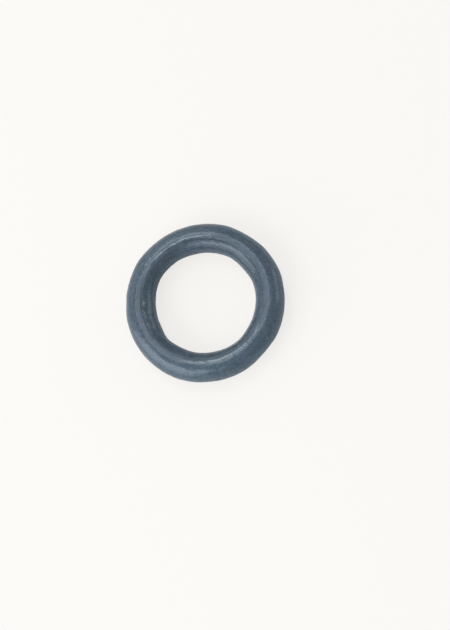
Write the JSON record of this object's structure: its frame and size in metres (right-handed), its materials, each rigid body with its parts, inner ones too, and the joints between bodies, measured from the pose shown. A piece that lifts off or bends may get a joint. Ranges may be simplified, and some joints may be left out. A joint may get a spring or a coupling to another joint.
{
  "type": "rubber o-ring",
  "caption": "Moulded rubber sealing ring of round section, with a fine mould line beside its crest and a narrow seating flat above and below.",
  "frame": {"origin": "centre of the ring's hole, on the ring's middle plane", "axes": "+Z along the ring's axis, out of the side that carries the upper mould line; X and Y across the ring"},
  "size_m": [0.028, 0.028, 0.005],
  "materials": {
    "rubber": "satin moulded rubber, dark blue-grey with a thin pale bloom"
  },
  "bodies": {
    "root": {"o_ring": "rubber"}
  },
  "joints": []
}
